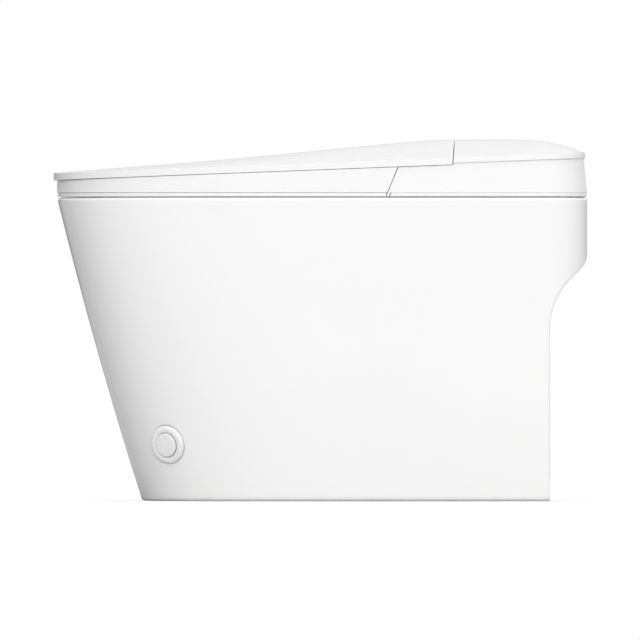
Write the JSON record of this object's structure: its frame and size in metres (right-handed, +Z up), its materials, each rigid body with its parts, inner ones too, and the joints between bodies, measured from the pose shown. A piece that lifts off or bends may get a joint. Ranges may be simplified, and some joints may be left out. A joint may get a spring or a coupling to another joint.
{
  "type": "bidet toilet",
  "caption": "White floor-standing bidet toilet with a skirted ceramic pedestal, heated seat, crowned lid, rear wash unit and a foot flush button.",
  "frame": {"origin": "on the floor under the middle of the bounding box", "axes": "+Z up, -Y towards the front tip, +Y towards the wall, +X towards the flush button's side"},
  "size_m": [0.3796, 0.69, 0.4678],
  "materials": {
    "glazed_ceramic": "gloss glaze",
    "shell_white": "gloss",
    "seat_white": "satin gloss",
    "unit_white": "satin gloss",
    "button_white": "gloss",
    "rubber_white": "matte",
    "rubber_dark": "matte",
    "steel": "brushed",
    "brass": "machined",
    "inner_grey": "matte",
    "inner_white": "matte",
    "black_plastic": "matte",
    "circuit_green": "lacquered",
    "heater_film": "film",
    "clear_lens": "clear"
  },
  "bodies": {
    "toilet": {"ceramic_skirt": "glazed_ceramic", "ceramic_rim": "glazed_ceramic", "ceramic_bowl": "glazed_ceramic", "ceramic_trapway": "glazed_ceramic", "ceramic_foot": "glazed_ceramic", "outlet_gasket": "rubber_dark", "deck_gasket": "rubber_dark", "base_plate": "unit_white", "base_bolts": "steel", "rear_housing": "unit_white", "rear_cover": "shell_white", "cheek_seals": "rubber_dark", "hinge_bracket_right": "inner_grey", "hinge_bracket_left": "inner_grey", "hinge_pins": "steel", "hinge_dampers": "black_plastic", "nozzle_cradle": "inner_grey", "nozzle_motor": "black_plastic", "fan_housing": "inner_grey", "fan_cover": "inner_grey", "fan_motor": "steel", "dryer_duct": "inner_grey", "night_light_lens": "clear_lens", "water_heater": "inner_white", "board_tray": "black_plastic", "circuit_board": "circuit_green", "flush_pump": "inner_grey", "pump_motor": "black_plastic", "flush_valve": "inner_white", "valve_coil": "black_plastic", "inlet_pipe": "brass", "wash_spout": "inner_white", "power_gland": "black_plastic", "button_bezel": "button_white", "button_nut": "inner_grey", "button_switch": "inner_grey"},
    "seat": {"seat_upper_shell": "seat_white", "seat_lower_shell": "seat_white", "seat_heater": "heater_film", "seat_bumpers": "rubber_white", "seat_arms": "unit_white"},
    "lid": {"lid_shell": "shell_white", "lid_panel": "shell_white", "lid_bumpers": "rubber_white", "lid_arms": "unit_white"},
    "wand": {"nozzle_wand": "steel", "nozzle_tip": "inner_white"},
    "dryer_door": {"dryer_flap": "unit_white"},
    "fan": {"fan_impeller": "inner_white"},
    "button": {"button_cap": "button_white"}
  },
  "joints": [
    {"name": "seat_lift", "type": "hinge", "parent": "toilet", "child": "seat", "pos_m": [0, 0.2, 0.452], "axis": [1, 0, 0], "range_deg": [-92, 0]},
    {"name": "lid_open", "type": "hinge", "parent": "seat", "child": "lid", "pos_m": [0, 0.2, 0.452], "axis": [-1, 0, 0], "range_deg": [0, 95]},
    {"name": "wand_extend", "type": "slide", "parent": "toilet", "child": "wand", "axis": [0, -0.9816, -0.1908], "range_m": [0, 0.1]},
    {"name": "dryer_flap_swing", "type": "hinge", "parent": "toilet", "child": "dryer_door", "pos_m": [0.031, 0.09177, 0.4039], "axis": [-1, 0, 0], "range_deg": [0, 60]},
    {"name": "fan_spin", "type": "hinge", "parent": "toilet", "child": "fan", "pos_m": [0.122, 0.27, 0.3979], "axis": [0, 0, 1], "continuous": true},
    {"name": "flush_press", "type": "slide", "parent": "toilet", "child": "button", "axis": [-0.7983, 0.5729, 0.186], "range_m": [0, 0.003], "stiffness_N_per_m": 600}
  ]
}
